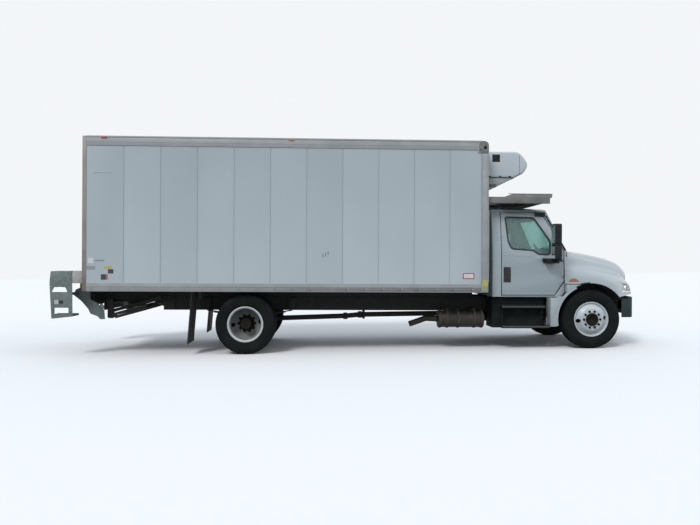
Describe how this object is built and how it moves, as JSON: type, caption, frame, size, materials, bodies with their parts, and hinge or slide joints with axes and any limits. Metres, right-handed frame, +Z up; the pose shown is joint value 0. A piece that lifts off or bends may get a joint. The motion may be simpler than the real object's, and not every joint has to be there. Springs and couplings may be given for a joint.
{
  "type": "refrigerated truck",
  "caption": "Conventional cab truck with a tall insulated box, front cooling unit, over-cab platform, twin rear wheels and a tuck-under tail lift with rear steps.",
  "frame": {"origin": "centre of the overall footprint, on the ground", "axes": "+X forward along the truck, +Y to its left, +Z up"},
  "size_m": [10.2786, 2.86, 3.7012],
  "materials": {
    "white_paint": "gloss",
    "box_panel": "gloss",
    "rail_aluminium": "satin",
    "frame_black": "satin",
    "axle_iron": "rough",
    "tyre_black": "matte",
    "wheel_white": "satin",
    "wheel_grey": "worn",
    "galvanised": "mottled",
    "steel_dark": "satin",
    "exhaust_steel": "heat tinted",
    "black_plastic": "matte",
    "bumper_plastic": "satin",
    "unit_white": "gloss",
    "unit_grey": "matte",
    "rubber_black": "matte",
    "glass_tint": "clear",
    "lamp_clear": "clear",
    "lamp_red": "gloss",
    "interior_grey": "matte",
    "seat_cloth": "woven",
    "tank_aluminium": "brushed"
  },
  "bodies": {
    "chassis": {"frame_rails": "frame_black", "frame_crossmembers": "frame_black", "front_axle": "axle_iron", "rear_axle": "axle_iron", "leaf_springs": "frame_black", "driveshaft": "frame_black", "engine": "axle_iron", "exhaust": "exhaust_steel", "battery_box": "black_plastic", "fuel_tank": "tank_aluminium", "body_sills": "frame_black", "box_wall_left": "box_panel", "box_wall_right": "box_panel", "box_floor": "rail_aluminium", "box_front_wall": "box_panel", "box_roof": "box_panel", "box_rails": "rail_aluminium", "rear_frame": "rail_aluminium", "rear_door": "box_panel", "cab_shell": "white_paint", "cab_glass": "glass_tint", "dashboard": "interior_grey", "cab_seats": "seat_cloth", "fender_extensions": "white_paint", "front_bumper": "bumper_plastic", "cooling_unit": "unit_white", "cooling_unit_base": "unit_grey", "cab_platform": "rail_aluminium", "conduit": "white_paint", "bed_extension": "steel_dark", "step_frames": "galvanised", "lift_mounting": "steel_dark", "mud_flaps": "rubber_black", "lamps": "lamp_red"},
    "steer_left": {"knuckle_left": "axle_iron"},
    "steer_right": {"knuckle_right": "axle_iron"},
    "wheel_front_left": {"front_tyre_left": "tyre_black", "front_wheel_left": "wheel_white"},
    "wheel_front_right": {"front_tyre_right": "tyre_black", "front_wheel_right": "wheel_white"},
    "wheel_rear_left": {"rear_tyres_left": "tyre_black", "rear_wheels_left": "wheel_grey"},
    "wheel_rear_right": {"rear_tyres_right": "tyre_black", "rear_wheels_right": "wheel_grey"},
    "cab_door_left": {"door_left": "white_paint", "door_glass_left": "glass_tint", "mirror_left": "black_plastic"},
    "cab_door_right": {"door_right": "white_paint", "door_glass_right": "glass_tint", "mirror_right": "black_plastic"},
    "hood_lid": {"hood": "white_paint", "headlights": "lamp_clear", "grille": "black_plastic"},
    "arms": {"lift_arms": "steel_dark"},
    "shackle": {"lift_shackle": "steel_dark"},
    "platform": {"lift_platform": "galvanised"},
    "flip": {"lift_flip": "galvanised"}
  },
  "joints": [
    {"name": "steering_left", "type": "hinge", "parent": "chassis", "child": "steer_left", "pos_m": [4.10878, 0.88, 0.51], "axis": [0, 0, 1], "range_deg": [-35, 35]},
    {"name": "front_wheel_spin_left", "type": "hinge", "parent": "steer_left", "child": "wheel_front_left", "pos_m": [4.10878, 1.02, 0.51], "axis": [0, 1, 0], "continuous": true},
    {"name": "rear_wheel_spin_left", "type": "hinge", "parent": "chassis", "child": "wheel_rear_left", "pos_m": [-1.88522, 0.92, 0.51], "axis": [0, 1, 0], "continuous": true},
    {"name": "cab_door_left_hinge", "type": "hinge", "parent": "chassis", "child": "cab_door_left", "pos_m": [3.65877, 1.028, 1.5148], "axis": [-0.0154, 0, -0.9999], "range_deg": [0, 70]},
    {"name": "steering_right", "type": "hinge", "parent": "chassis", "child": "steer_right", "pos_m": [4.10878, -0.88, 0.51], "axis": [0, 0, 1], "range_deg": [-35, 35]},
    {"name": "front_wheel_spin_right", "type": "hinge", "parent": "steer_right", "child": "wheel_front_right", "pos_m": [4.10878, -1.02, 0.51], "axis": [0, 1, 0], "continuous": true},
    {"name": "rear_wheel_spin_right", "type": "hinge", "parent": "chassis", "child": "wheel_rear_right", "pos_m": [-1.88522, -0.92, 0.51], "axis": [0, 1, 0], "continuous": true},
    {"name": "cab_door_right_hinge", "type": "hinge", "parent": "chassis", "child": "cab_door_right", "pos_m": [3.65877, -1.028, 1.5148], "axis": [0.0154, 0, 0.9999], "range_deg": [0, 70]},
    {"name": "hood_tilt", "type": "hinge", "parent": "chassis", "child": "hood_lid", "pos_m": [5.06982, 0, 0.923], "axis": [0, 1, 0], "range_deg": [0, 60]},
    {"name": "lift_lower", "type": "hinge", "parent": "chassis", "child": "arms", "pos_m": [-3.47086, 0, 0.94453], "axis": [0, -1, 0], "range_deg": [0, 42]},
    {"name": "lift_level", "type": "hinge", "parent": "arms", "child": "shackle", "pos_m": [-4.30431, 0, 0.72734], "axis": [0, -1, 0], "range_deg": [-42, 0]},
    {"name": "platform_unfold", "type": "hinge", "parent": "shackle", "child": "platform", "pos_m": [-4.31569, 0, 0.6375], "axis": [0, 1, 0], "range_deg": [0, 196]},
    {"name": "platform_flip", "type": "hinge", "parent": "platform", "child": "flip", "pos_m": [-3.62494, 0, 0.81065], "axis": [0, -1, 0], "range_deg": [0, 180]}
  ],
  "couplings": [
    {"joint": "steering_right", "follows": "steering_left", "ratio": 1},
    {"joint": "lift_level", "follows": "lift_lower", "ratio": -1},
    {"joint": "platform_flip", "follows": "platform_unfold", "ratio": 0.91837}
  ]
}
